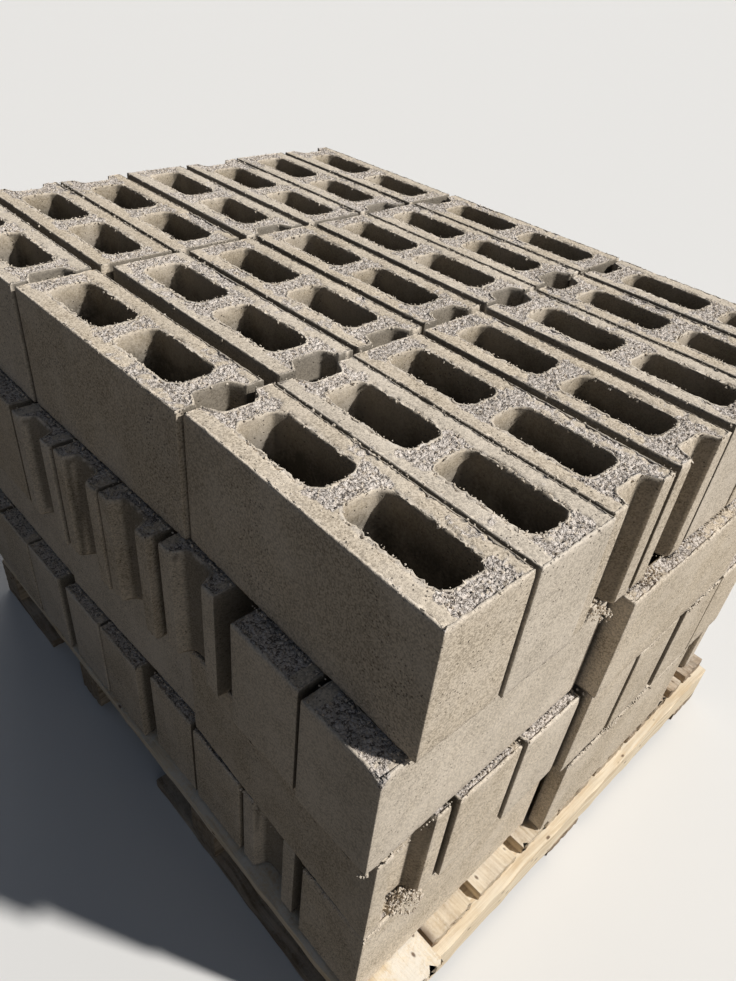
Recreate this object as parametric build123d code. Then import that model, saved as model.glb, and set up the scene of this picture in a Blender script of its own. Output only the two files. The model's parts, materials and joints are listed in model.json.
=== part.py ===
from build123d import *
from math import atan, degrees, radians, sin, tan
import os

# A pallet of hollow concrete blocks, dry-laid in four courses.
# Millimetres, Z up. X runs along the photographed right side, Y along the left side.
# The layout is written from the near corner of the top course, and the whole
# stack is moved at the end so that the middle of its footprint is the origin.

# Concrete block, lying as it is laid: length along Y, groove in the end toward -Y.
BLOCK_L = 390
BLOCK_W = 120
BLOCK_H = 190
SHELL = 28
FLAT_END_WEB = 30
MIDDLE_WEB = 32
GROOVE_WEB = 28
GROOVE_DEPTH = 22
GROOVE_FLOOR = 46
GROOVE_FLARE = 11
GROOVE_FLOOR_R = 7
CORE_R = 18
CORE_TAPER = 2
ARRIS = 2.5
CORE_W = BLOCK_W - 2 * SHELL
CORE_L = (BLOCK_L - FLAT_END_WEB - MIDDLE_WEB - GROOVE_WEB - GROOVE_DEPTH) / 2

# Headings, as the turn in degrees that points the grooved end that way.
NEAR, FAR, LEFT, RIGHT = 0, 180, -90, 90

# Pallet, 1200 along Y and 1000 along X.
PALLET_LEFT = -18
PALLET_NEAR = -29
PALLET_X = 1000
PALLET_Y = 1200
DECK_T = 20
STRINGER_H = 72
STRINGER_W = 70
FOOT_T = 20
FOOT_W = 96
FOOT_NEAR_L = 559
FOOT_FAR_L = 221
DECK_SETBACK = 16
FIRST_BOARD_OUT = 9
WOOD_ARRIS = 2
BOARD_WIDTHS = (143, 91, 94, 101, 101, 92, 148, 45, 77)
BOARD_GAPS = (3, 18, 18, 2, 17, 16, 18, 16)
STRINGER_CENTRES = (PALLET_NEAR + STRINGER_W / 2, 375, 770, PALLET_NEAR + PALLET_Y - STRINGER_W / 2)
PALLET_H = FOOT_T + STRINGER_H + DECK_T

# Top course: three rows of seven blocks along Y.
TOP_ROW_X = (5, 0, -6)
TOP_ROW_JOINTS = (7, 8)
TOP_JOINTS = ((1, 2, 10, 16, 4, 8), (20, 6, 7, 10, 3, 4), (12, 4, 14, 12, 5, 8))
TOP_SHIFTS = ((4, -1, 1, 1, 4, 3, 2), (3, 2, 1, 4, 2, 3, 1), (1, 3, 0, 2, 1, 4, 0))
TOP_YAWS = ((-1.1, -0.8, -0.8, -0.3, 0, 0, 0), (0.9, 0.5, 0.3, -0.3, 0, 0, 0), (0,) * 7)
TOP_HEADINGS = (
    (FAR, FAR, NEAR, NEAR, FAR, FAR, FAR),
    (NEAR, NEAR, NEAR, NEAR, NEAR, NEAR, FAR),
    (NEAR, FAR, FAR, NEAR, FAR, NEAR, FAR),
)

# Second course: three rows of seven blocks along Y.
SECOND_ROW_X = (-7, 6.5, 6)
SECOND_ROW_JOINTS = (14, 7)
SECOND_JOINTS = ((1, 6, 7, 4, 16, 5), (6, 8, 4, 12, 5, 7), (8, 3, 10, 5, 9, 6))
SECOND_SHIFTS = ((11, 5, 1, -11, -13, -15, -15), (4, 2, 6, 3, 1, 4, 2), (6, 3, 5, 2, 6, 4, 1))
SECOND_YAWS = ((-1.8, -0.4, -0.3, 0, 0.3, 0, 0), (1.6, 0.3, 0, 0, -0.3, 0, 0), (0,) * 7)
SECOND_HEADINGS = (
    (NEAR, FAR, FAR, FAR, FAR, FAR, FAR),
    (FAR, NEAR, NEAR, FAR, NEAR, NEAR, NEAR),
    (FAR, FAR, NEAR, NEAR, FAR, FAR, NEAR),
)

# Third course: two columns of nine blocks along X, and one column of three along Y.
THIRD_LEFT_X = (-32, -28, -21, -31, -34, -38, -36, -40, -37)
THIRD_LEFT_Y = 14
THIRD_LEFT_JOINTS = (8, 42, 12, 3, 6, 12, 8, 6)
THIRD_LEFT_HEADINGS = (RIGHT, RIGHT, LEFT, LEFT, LEFT, LEFT, RIGHT, LEFT, RIGHT)
THIRD_MID_JOINT = 5
THIRD_MID_X = (-6, 1, 0, 3, 5, 2, 4, 1, 3)
THIRD_MID_Y = -15
THIRD_MID_JOINTS = (10, 14, 16, 8, 12, 10, 14, 9)
THIRD_MID_HEADINGS = (RIGHT, LEFT, RIGHT, RIGHT, LEFT, RIGHT, LEFT, LEFT, RIGHT)
THIRD_END_JOINT = 6
THIRD_END_Y = 5
THIRD_END_JOINTS = (7, 8)
THIRD_END_HEADINGS = (FAR, NEAR, FAR)

# First course, on the pallet: laid as the third.
FIRST_LEFT_X = (-10, -5, -5, -3, -14, -16, -20, -22, -20)
FIRST_LEFT_Y = 14
FIRST_LEFT_JOINTS = (22, 10, 8, 26, 3, 24, 3, 6)
FIRST_LEFT_HEADINGS = (RIGHT, LEFT, RIGHT, RIGHT, RIGHT, RIGHT, RIGHT, RIGHT, RIGHT)
FIRST_MID_JOINT = 6
FIRST_MID_X = (0, 3, 1, 4, 2, 0, 3, 1, 2)
FIRST_MID_Y = -13
FIRST_MID_JOINTS = (12, 10, 14, 9, 12, 15, 8, 10)
FIRST_MID_HEADINGS = (LEFT, RIGHT, LEFT, LEFT, RIGHT, LEFT, RIGHT, RIGHT, LEFT)
FIRST_END_JOINT = 42
FIRST_END_Y = 2
FIRST_END_JOINTS = (9, 6)
FIRST_END_HEADINGS = (NEAR, FAR, NEAR)


def block_outline(fine):
    """Plan of the block: a long rectangle with the flared groove in its near end."""
    w = BLOCK_W / 2
    l = BLOCK_L / 2
    floor = GROOVE_FLOOR / 2
    mouth = floor + GROOVE_FLARE
    corners = [
        (-w, -l),
        (-mouth, -l),
        (-floor, -l + GROOVE_DEPTH),
        (floor, -l + GROOVE_DEPTH),
        (mouth, -l),
        (w, -l),
        (w, l),
        (-w, l),
    ]
    plan = Polygon(*corners, align=None)
    if fine:
        plan = chamfer([v for v in plan.vertices() if abs(v.X) > w - 1], ARRIS)
        plan = fillet([v for v in plan.vertices() if abs(v.X) < floor + 1 and v.Y < 0], GROOVE_FLOOR_R)
    return plan


def upright_edges(solid):
    """The edges of a solid that run up and down, or nearly so."""
    return [e for e in solid.edges() if abs(e.tangent_at(0.5).Z) > 0.5]


def core_cutter(fine):
    """The space of one core, standing on z = 0: wide at the top, narrower at the bottom.

    Its corners are cut to touch a circle of CORE_R, in one flat or in three.
    """
    draft = degrees(atan(CORE_TAPER / BLOCK_H))
    foot = Rectangle(CORE_W - 2 * CORE_TAPER, CORE_L - 2 * CORE_TAPER)
    space = extrude(foot, BLOCK_H, taper=-draft)
    half_turn = tan(radians(22.5))
    space = chamfer(upright_edges(space), CORE_R * (1 - half_turn))
    if fine:
        space = chamfer(upright_edges(space), CORE_R * (half_turn - tan(radians(11.25))))
    return space


def make_block(fine):
    """A hollow block standing on z = 0, centred on the origin, groove toward -Y.

    The fine block has rounded cores, a rounded groove and broken corners. The other
    one has the same sizes with fewer flats, so that the whole stack stays light.
    """
    body = extrude(block_outline(fine), BLOCK_H)
    cutter = core_cutter(fine)
    first = -BLOCK_L / 2 + GROOVE_DEPTH + GROOVE_WEB + CORE_L / 2
    for number in range(2):
        body -= Pos(0, first + number * (CORE_L + MIDDLE_WEB), 0) * cutter
    return body


def centres_across(joints, yaws):
    """Centres of blocks set side by side, the first block's side face being at 0."""
    centres = [BLOCK_W / 2]
    for joint, before, after in zip(joints, yaws, yaws[1:]):
        swing = BLOCK_L / 2 * abs(sin(radians(after - before)))
        centres.append(centres[-1] + BLOCK_W + joint + swing)
    return centres


def centres_along(joints):
    """Centres of blocks set end to end, the first block's end face being at 0."""
    centres = [BLOCK_L / 2]
    for joint in joints:
        centres.append(centres[-1] + BLOCK_L + joint)
    return centres


def place(block, x, y, course, turn):
    """A copy of the block turned about its middle and set on the given course."""
    z = PALLET_H + (course - 1) * BLOCK_H
    return Location((x, y, z), (0, 0, turn)) * block


def lay_rows(block, course, row_x, row_joints, joints, shifts, yaws, headings):
    """Three rows of blocks lengthways along Y, as one list of blocks for each row."""
    rows = []
    for r, middle in enumerate(centres_along(row_joints)):
        row = []
        for c, across in enumerate(centres_across(joints[r], yaws[r])):
            turn = headings[r][c] + yaws[r][c]
            row.append(place(block, row_x[r] + across, middle + shifts[r][c], course, turn))
        rows.append(row)
    return rows


def lay_column(block, course, lefts, start_y, joints, headings):
    """Nine blocks lengthways along X, one behind the other along Y."""
    column = []
    for left, across, turn in zip(lefts, centres_across(joints, (0,) * len(lefts)), headings):
        column.append(place(block, left + BLOCK_L / 2, start_y + across, course, turn))
    return column


def lay_end(block, course, left, start_y, joints, headings):
    """Three blocks lengthways along Y that close a course on its far right side."""
    column = []
    for along, turn in zip(centres_along(joints), headings):
        column.append(place(block, left + BLOCK_W / 2, start_y + along, course, turn))
    return column


def crossed_course(block, course, left_x, left_y, left_joints, left_headings, mid_joint,
                   mid_x, mid_y, mid_joints, mid_headings, end_joint, end_y, end_joints, end_headings):
    """A course of two columns along X and one end column along Y."""
    left = lay_column(block, course, left_x, left_y, left_joints, left_headings)
    mid_start = max(left_x) + BLOCK_L + mid_joint
    mid_lefts = [mid_start + step for step in mid_x]
    middle = lay_column(block, course, mid_lefts, mid_y, mid_joints, mid_headings)
    end_start = mid_start + max(mid_x) + BLOCK_L + end_joint
    end = lay_end(block, course, end_start, end_y, end_joints, end_headings)
    return left, middle, end


def timber(x0, y0, z0, dx, dy, dz):
    """A sawn length of wood with its four long edges broken, longest way along X or Y."""
    if dy > dx:
        section = Plane.XZ * chamfer(Rectangle(dx, dz).vertices(), WOOD_ARRIS)
        piece = extrude(section, dy / 2, both=True)
    else:
        section = Plane.YZ * chamfer(Rectangle(dy, dz).vertices(), WOOD_ARRIS)
        piece = extrude(section, dx / 2, both=True)
    return Pos(x0 + dx / 2, y0 + dy / 2, z0 + dz / 2) * piece


def deck_boards():
    """Nine boards of different widths; the first one reaches out over the near stringer."""
    boards = []
    x = PALLET_LEFT
    z = FOOT_T + STRINGER_H
    near = PALLET_NEAR + DECK_SETBACK
    far = PALLET_NEAR + PALLET_Y - DECK_SETBACK
    for number, width in enumerate(BOARD_WIDTHS):
        start = PALLET_NEAR - FIRST_BOARD_OUT if number == 0 else near
        boards.append(timber(x, start, z, width, far - start, DECK_T))
        if number < len(BOARD_GAPS):
            x += width + BOARD_GAPS[number]
    return boards


def stringers():
    """Four thick timbers along X that carry the deck."""
    beams = []
    for centre in STRINGER_CENTRES:
        y = centre - STRINGER_W / 2
        beams.append(timber(PALLET_LEFT, y, FOOT_T, PALLET_X, STRINGER_W, STRINGER_H))
    return beams


def bottom_boards():
    """Short boards under the left edge, the middle and the right edge of the stringers."""
    boards = []
    for number in range(3):
        x = PALLET_LEFT + number * (PALLET_X - FOOT_W) / 2
        boards.append(timber(x, PALLET_NEAR, 0, FOOT_W, FOOT_NEAR_L, FOOT_T))
        far = PALLET_NEAR + PALLET_Y - FOOT_FAR_L
        boards.append(timber(x, far, 0, FOOT_W, FOOT_FAR_L, FOOT_T))
    return boards


def build_nodes():
    """Every named node with its list of solids, in the layout's own coordinates."""
    fine = make_block(fine=True)
    plain = make_block(fine=False)
    nodes = {
        "pallet_deck_boards": deck_boards(),
        "pallet_stringers": stringers(),
        "pallet_bottom_boards": bottom_boards(),
    }
    first = crossed_course(
        plain, 1, FIRST_LEFT_X, FIRST_LEFT_Y, FIRST_LEFT_JOINTS, FIRST_LEFT_HEADINGS,
        FIRST_MID_JOINT, FIRST_MID_X, FIRST_MID_Y, FIRST_MID_JOINTS, FIRST_MID_HEADINGS,
        FIRST_END_JOINT, FIRST_END_Y, FIRST_END_JOINTS, FIRST_END_HEADINGS,
    )
    third = crossed_course(
        plain, 3, THIRD_LEFT_X, THIRD_LEFT_Y, THIRD_LEFT_JOINTS, THIRD_LEFT_HEADINGS,
        THIRD_MID_JOINT, THIRD_MID_X, THIRD_MID_Y, THIRD_MID_JOINTS, THIRD_MID_HEADINGS,
        THIRD_END_JOINT, THIRD_END_Y, THIRD_END_JOINTS, THIRD_END_HEADINGS,
    )
    second = lay_rows(
        plain, 2, SECOND_ROW_X, SECOND_ROW_JOINTS,
        SECOND_JOINTS, SECOND_SHIFTS, SECOND_YAWS, SECOND_HEADINGS,
    )
    top = lay_rows(
        fine, 4, TOP_ROW_X, TOP_ROW_JOINTS,
        TOP_JOINTS, TOP_SHIFTS, TOP_YAWS, TOP_HEADINGS,
    )
    for name, course in (("course_1", first), ("course_3", third)):
        for part, blocks in zip(("left_blocks", "middle_blocks", "end_blocks"), course):
            nodes[f"{name}_{part}"] = blocks
    for r, blocks in enumerate(second):
        nodes[f"course_2_row_{r + 1}"] = blocks
    for c in range(len(top[0])):
        nodes[f"course_4_column_{c + 1}"] = [row[c] for row in top]
    return nodes


def main():
    """Builds the stack, centres its footprint on the origin and writes one file a node."""
    os.makedirs("parts", exist_ok=True)
    nodes = build_nodes()
    box = Compound(children=[Compound(s) for s in nodes.values()]).bounding_box()
    move = Pos(-(box.min.X + box.max.X) / 2, -(box.min.Y + box.max.Y) / 2, -box.min.Z)
    for name, solids in nodes.items():
        moved = [move * s for s in solids]
        export_step(Compound(moved, label=name), f"parts/{name}.step")


if __name__ == "__main__":
    main()
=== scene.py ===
"""A pallet of hollow concrete blocks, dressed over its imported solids.

The place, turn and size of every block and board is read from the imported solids, so
the dressed pieces stand where the solids stand. Lengths are in metres, Z is up.
"""

from __future__ import annotations

import json
import logging
import math
from dataclasses import dataclass, field
from enum import Enum

import bmesh
import bpy
import numpy as np
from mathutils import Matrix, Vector
from mathutils.geometry import delaunay_2d_cdt

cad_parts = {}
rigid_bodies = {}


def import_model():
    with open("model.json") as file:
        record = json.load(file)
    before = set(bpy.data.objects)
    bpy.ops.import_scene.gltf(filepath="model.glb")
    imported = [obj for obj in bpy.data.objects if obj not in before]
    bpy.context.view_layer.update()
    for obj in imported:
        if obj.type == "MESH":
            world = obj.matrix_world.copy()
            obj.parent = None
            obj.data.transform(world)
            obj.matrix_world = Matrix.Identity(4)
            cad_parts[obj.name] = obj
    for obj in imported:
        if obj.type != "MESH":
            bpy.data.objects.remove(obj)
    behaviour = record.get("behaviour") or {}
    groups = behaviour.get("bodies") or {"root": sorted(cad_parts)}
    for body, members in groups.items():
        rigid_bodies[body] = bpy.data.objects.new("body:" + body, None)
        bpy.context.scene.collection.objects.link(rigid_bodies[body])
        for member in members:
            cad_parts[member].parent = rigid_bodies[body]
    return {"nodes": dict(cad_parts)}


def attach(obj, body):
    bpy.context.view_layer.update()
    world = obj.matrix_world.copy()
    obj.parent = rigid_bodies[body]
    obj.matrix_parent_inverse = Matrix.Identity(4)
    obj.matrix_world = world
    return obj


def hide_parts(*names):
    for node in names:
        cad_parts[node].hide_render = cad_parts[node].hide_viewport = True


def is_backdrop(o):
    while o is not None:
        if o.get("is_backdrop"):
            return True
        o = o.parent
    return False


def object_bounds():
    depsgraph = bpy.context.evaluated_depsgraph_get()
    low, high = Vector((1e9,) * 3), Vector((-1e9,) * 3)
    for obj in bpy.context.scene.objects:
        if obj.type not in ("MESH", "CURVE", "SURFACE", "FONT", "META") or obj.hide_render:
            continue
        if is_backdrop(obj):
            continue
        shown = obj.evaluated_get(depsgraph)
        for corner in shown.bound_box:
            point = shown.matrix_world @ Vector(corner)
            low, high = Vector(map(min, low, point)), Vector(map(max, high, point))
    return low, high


log = logging.getLogger("pallet_of_blocks")

Loop = np.ndarray
Colour = tuple[float, float, float]
Place = tuple[float, float, float]
Span = tuple[float, float]
VECTOR, FLOAT, COLOUR = "NodeSocketVector", "NodeSocketFloat", "NodeSocketColor"
GEOMETRY, OBJECT, MATERIAL = "NodeSocketGeometry", "NodeSocketObject", "NodeSocketMaterial"


class Slot(Enum):
    """Material slots of the record."""

    CONCRETE = "concrete"
    WOOD = "pallet_wood"


class FineZone(Enum):
    """Which part of a block's top has the close mesh."""

    WEBS = "webs"
    EDGES = "edges"
    NONE = "none"


class Way(Enum):
    """The way a board or beam runs."""

    ALONG_X = 0
    ALONG_Y = 1


class Flow:
    """A value that runs through a node tree; its operators add Math nodes."""

    def __init__(self, wiring: Wiring, socket: bpy.types.NodeSocket) -> None:
        """Keeps the socket that gives the value."""
        self.wiring, self.socket = wiring, socket

    def __add__(self, other: Flow | float) -> Flow:
        """This value plus another."""
        return self.wiring.math("ADD", self, other)

    def __sub__(self, other: Flow | float) -> Flow:
        """This value less another."""
        return self.wiring.math("SUBTRACT", self, other)

    def __rsub__(self, other: float) -> Flow:
        """A number less this value."""
        return self.wiring.math("SUBTRACT", other, self)

    def __mul__(self, other: Flow | float) -> Flow:
        """This value times another."""
        return self.wiring.math("MULTIPLY", self, other)

    def __rtruediv__(self, other: float) -> Flow:
        """A number divided by this value."""
        return self.wiring.math("DIVIDE", other, self)


class Wiring:
    """Adds nodes to one tree and links them."""

    def __init__(self, tree: bpy.types.NodeTree) -> None:
        """Keeps the tree that the nodes go into."""
        self.tree = tree

    def feed(self, node: bpy.types.Node, inputs: dict) -> None:
        """Links a node's inputs to flows, or sets them to plain values.

        Args:
            node: the node.
            inputs: flows or values by input name or number; a colour has no alpha.
        """
        for name, value in inputs.items():
            socket = node.inputs[name]
            if isinstance(value, Flow):
                self.tree.links.new(value.socket, socket)
            else:
                socket.default_value = (*value, 1.0) if socket.type == "RGBA" else value

    def node(self, kind: str, inputs: dict | None = None, **settings: object) -> bpy.types.Node:
        """Adds a node.

        Args:
            kind: Blender's type name of the node.
            inputs: values or flows by input name or number.
            settings: the node's own properties.

        Returns:
            The new node.
        """
        made = self.tree.nodes.new(kind)
        for name, value in settings.items():
            setattr(made, name, value)
        self.feed(made, inputs or {})
        return made

    def flow(self, kind: str, inputs: dict | None = None, output: int | str = 0, **settings: object) -> Flow:
        """Adds a node and returns the value of one of its outputs."""
        return Flow(self, self.node(kind, inputs, **settings).outputs[output])

    def math(self, operation: str, *values: Flow | float, clamp: bool = False) -> Flow:
        """The result of a Math node."""
        return self.flow("ShaderNodeMath", dict(enumerate(values)), operation=operation, use_clamp=clamp)

    def vector(self, operation: str, *values: Flow | Place) -> Flow:
        """The vector of a Vector Math node."""
        return self.flow("ShaderNodeVectorMath", dict(enumerate(values)), operation=operation)

    def scaled(self, vector: Flow, factor: Flow | float) -> Flow:
        """A vector times a number."""
        return self.flow("ShaderNodeVectorMath", {0: vector, "Scale": factor}, operation="SCALE")

    def ramp(self, value: Flow, low: float, high: float, to_low: float = 0.0, to_high: float = 1.0) -> Flow:
        """A smooth step of a value from low to high."""
        inputs = dict(enumerate((value, low, high, to_low, to_high)))
        return self.flow("ShaderNodeMapRange", inputs, interpolation_type="SMOOTHSTEP")

    def mix(
        self, factor: Flow | float, first: Flow | Colour, second: Flow | Colour, blend: str = "MIX"
    ) -> Flow:
        """A colour mixed from two colours."""
        inputs = {0: factor, 6: first, 7: second}
        return self.flow("ShaderNodeMix", inputs, 2, data_type="RGBA", blend_type=blend)

    def noise(self, place: Flow, scale: Flow | float, detail: float, rough: float) -> Flow:
        """Cloudy noise from 0 to 1 at a place."""
        inputs = {"Vector": place, "Scale": scale, "Detail": detail, "Roughness": rough}
        return self.flow("ShaderNodeTexNoise", inputs)

    def swayed(self, place: Flow, scale: float, detail: float, reach: float) -> Flow:
        """Coordinates bent by a soft noise.

        Args:
            place: the coordinates.
            scale: scale of the noise.
            detail: its detail.
            reach: how far it bends them.

        Returns:
            The bent coordinates.
        """
        sway = self.flow("ShaderNodeTexNoise", {"Vector": place, "Scale": scale, "Detail": detail}, "Color")
        return self.vector("ADD", place, self.scaled(self.vector("SUBTRACT", sway, (0.5, 0.5, 0.5)), reach))

    def cells(self, place: Flow, scale: Flow | float) -> tuple[Flow, Flow]:
        """Cells scattered in space.

        Args:
            place: the coordinates.
            scale: cells per metre.

        Returns:
            The distance to the nearest cell's middle, and that cell's own random number.
        """
        made = self.node("ShaderNodeTexVoronoi", {"Vector": place, "Scale": scale})
        own = self.flow("ShaderNodeSeparateXYZ", {0: Flow(self, made.outputs["Color"])})
        return Flow(self, made.outputs["Distance"]), own

    def spots(self, place: Flow, scale: float, least: Flow | float, full: float, gone: float) -> Flow:
        """Round spots in some of the cells.

        Args:
            place: the coordinates.
            scale: cells per metre.
            least: cells with a random number above this have a spot.
            full: distance from the middle within which the spot is full.
            gone: distance at which it has ended.

        Returns:
            The spots, 1 in the middle of each.
        """
        far, own = self.cells(place, scale)
        return self.math("GREATER_THAN", own, least) * self.ramp(far, full, gone, 1.0, 0.0)

    def painted(self, name: str, output: str = "Fac") -> Flow:
        """An attribute of the piece's own mesh, for a material."""
        return self.flow("ShaderNodeAttribute", output=output, attribute_name=name)

    def stored(self, name: str) -> Flow:
        """A number stored on the points, for a geometry tree."""
        return self.flow("GeometryNodeInputNamedAttribute", {"Name": name}, "Attribute", data_type="FLOAT")

    def laid(self, points: Flow, shape: Flow, inputs: dict) -> Flow:
        """Lays an object on points, for a geometry tree.

        Args:
            points: the points.
            shape: the object.
            inputs: the other inputs of the node that lays it.

        Returns:
            The instances.
        """
        found = self.flow("GeometryNodeObjectInfo", {"Object": shape}, "Geometry")
        return self.flow("GeometryNodeInstanceOnPoints", {"Points": points, "Instance": found} | inputs)

    def group(self, group: bpy.types.NodeTree, **inputs: object) -> dict[str, Flow]:
        """Places a shader group.

        Args:
            group: the group.
            inputs: flows or values; underscores in a name stand for spaces.

        Returns:
            The group's outputs by name.
        """
        made = self.tree.nodes.new("ShaderNodeGroup")
        made.node_tree = group
        self.feed(made, {name.replace("_", " "): value for name, value in inputs.items()})
        return {socket.name: Flow(self, socket) for socket in made.outputs}

    def face(self, shader: bpy.types.Node, colour: Flow, height: Flow, depth: float) -> None:
        """Gives a shader its colour and its relief."""
        bump = self.flow("ShaderNodeBump", {"Height": height, "Strength": 1.0, "Distance": depth})
        self.feed(shader, {"Base Color": colour, "Normal": bump})


def new_group(
    name: str, kind: str, inputs: list[tuple], outputs: list[tuple]
) -> tuple[Wiring, dict[str, Flow], bpy.types.Node]:
    """Starts a node group with named sockets.

    Args:
        name: the group's name.
        kind: ShaderNodeTree or GeometryNodeTree.
        inputs: (name, socket type, default or None) of each input.
        outputs: (name, socket type) of each output.

    Returns:
        The wiring of the new tree, its inputs by name, and its output node.
    """
    tree = bpy.data.node_groups.new(name, kind)
    for label, socket_type, default in inputs:
        made = tree.interface.new_socket(name=label, in_out="INPUT", socket_type=socket_type)
        if default is not None:
            made.default_value = default
    for label, socket_type in outputs:
        tree.interface.new_socket(name=label, in_out="OUTPUT", socket_type=socket_type)
    wiring = Wiring(tree)
    entry = wiring.node("NodeGroupInput")
    leave = wiring.node("NodeGroupOutput")
    return wiring, {s.name: Flow(wiring, s) for s in entry.outputs if s.name}, leave


def new_material(
    name: str, roughness: float, gloss: float
) -> tuple[bpy.types.Material, Wiring, bpy.types.Node]:
    """Starts a material.

    Args:
        name: the material's name.
        roughness: roughness of its shader.
        gloss: specular level of its shader.

    Returns:
        The material, the wiring of its tree, and its shader.
    """
    made = bpy.data.materials.new(name)
    made.use_nodes = True
    shader = made.node_tree.nodes["Principled BSDF"]
    shader.inputs["Roughness"].default_value = roughness
    shader.inputs["Specular IOR Level"].default_value = gloss
    return made, Wiring(made.node_tree), shader


def grain_pattern(wiring: Wiring, place: Flow, size: Flow, pit_share: Flow) -> tuple[Flow, Flow, Flow]:
    """Grains of stone that stand proud of irregular pits.

    The relief tree and the concrete finish both place it, so that the grains cut into
    the mesh and those painted on it are the same ones.

    Args:
        wiring: the tree that takes the nodes.
        place: the coordinates.
        size: spacing of the grains in metres.
        pit_share: share of the grains that have fallen out.

    Returns:
        The height of the grains, the pits, and a random tone of each small grain.
    """
    scale = 1.0 / size
    bent = wiring.swayed(place, 380.0, 1.0, 0.0034)
    far, own = wiring.cells(bent, scale)
    dome = wiring.ramp(far, 0.15, 0.95, 1.0, 0.0)
    keep = wiring.ramp(own - pit_share, -0.07, 0.09)
    small_far, small_own = wiring.cells(bent, scale * 2.2)
    small = wiring.ramp(small_far, 0.1, 0.85, 1.0, 0.0) * 0.42
    height = wiring.math("MAXIMUM", dome * keep, small)
    return height, 1.0 - wiring.ramp(height, 0.10, 0.36), small_own


def gritty_mask(wiring: Wiring, place: Flow, web: Flow) -> Flow:
    """Where a face is open and gritty: the web mark with a ragged border.

    Broad patches leave some webs smooth and let the grit run out over some shells. The
    relief tree and the concrete finish both place it.

    Args:
        wiring: the tree that takes the nodes.
        place: the coordinates.
        web: the web mark of the mesh.

    Returns:
        The mask, 1 where the face is open.
    """
    broad = (wiring.noise(place, 7.5, 1.0, 0.5) - 0.5) * 1.9
    ragged = (wiring.noise(place, 64.0, 3.0, 0.65) - 0.5) * 1.5
    return wiring.ramp(web + (broad + ragged), 0.36, 0.56) * wiring.ramp(web, 0.04, 0.16)


class Effects:
    """Shader node groups that the finishes place, each built once."""

    def __init__(self) -> None:
        """Builds every group."""
        self.grit = self._grit()
        self.sand = self._sand()
        self.dust = self._dust()

    @staticmethod
    def _grit() -> bpy.types.NodeTree:
        """Loose grains that stand proud of dark pits, as on a struck-off web.

        Returns:
            The group.
        """
        wiring, given, leave = new_group(
            "open_grit",
            "ShaderNodeTree",
            [("Place", VECTOR, None), ("Grain size", FLOAT, 0.004), ("Share of pits", FLOAT, 0.27)],
            [("Height", FLOAT), ("Pits", FLOAT), ("Tone", FLOAT)],
        )
        found = grain_pattern(wiring, given["Place"], given["Grain size"], given["Share of pits"])
        wiring.feed(leave, dict(zip(("Height", "Pits", "Tone"), found)))
        return wiring.tree

    @staticmethod
    def _sand() -> bpy.types.NodeTree:
        """The fine sandy skin of a moulded face, with scattered small pores.

        Returns:
            The group.
        """
        wiring, given, leave = new_group(
            "sandy_skin",
            "ShaderNodeTree",
            [("Place", VECTOR, None), ("Grain size", FLOAT, 0.0014), ("Pore size", FLOAT, 0.0040)],
            [("Height", FLOAT), ("Pores", FLOAT), ("Tone", FLOAT)],
        )
        place = given["Place"]
        scale = 1.0 / given["Grain size"]
        fine = wiring.noise(place, scale, 1.5, 0.6)
        _, own = wiring.cells(place, scale * 0.75)
        least = wiring.ramp(wiring.noise(place, 23.0, 2.0, 0.6), 0.42, 0.66, 0.965, 0.72)
        pores = wiring.spots(place, 1.0 / given["Pore size"], least, 0.14, 0.36)
        wiring.feed(leave, {"Height": fine - pores * 1.3, "Pores": pores, "Tone": own * 0.6 + fine * 0.4})
        return wiring.tree

    @staticmethod
    def _dust() -> bpy.types.NodeTree:
        """Pale mineral dust in soft patches over a colour.

        Returns:
            The group.
        """
        wiring, given, leave = new_group(
            "mineral_dust",
            "ShaderNodeTree",
            [
                ("Place", VECTOR, None), ("Colour", COLOUR, None), ("Dust", COLOUR, None),
                ("Amount", FLOAT, 0.5),
            ],
            [("Colour", COLOUR), ("Mask", FLOAT)],
        )
        place = given["Place"]
        both = wiring.noise(place, 14.0, 4.0, 0.6) * 0.7 + wiring.noise(place, 260.0, 2.0, 0.6) * 0.3
        mask = wiring.math("MULTIPLY", wiring.ramp(both, 0.40, 0.62), given["Amount"], clamp=True)
        wiring.feed(leave, {"Colour": wiring.mix(mask, given["Colour"], given["Dust"]), "Mask": mask})
        return wiring.tree


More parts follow.
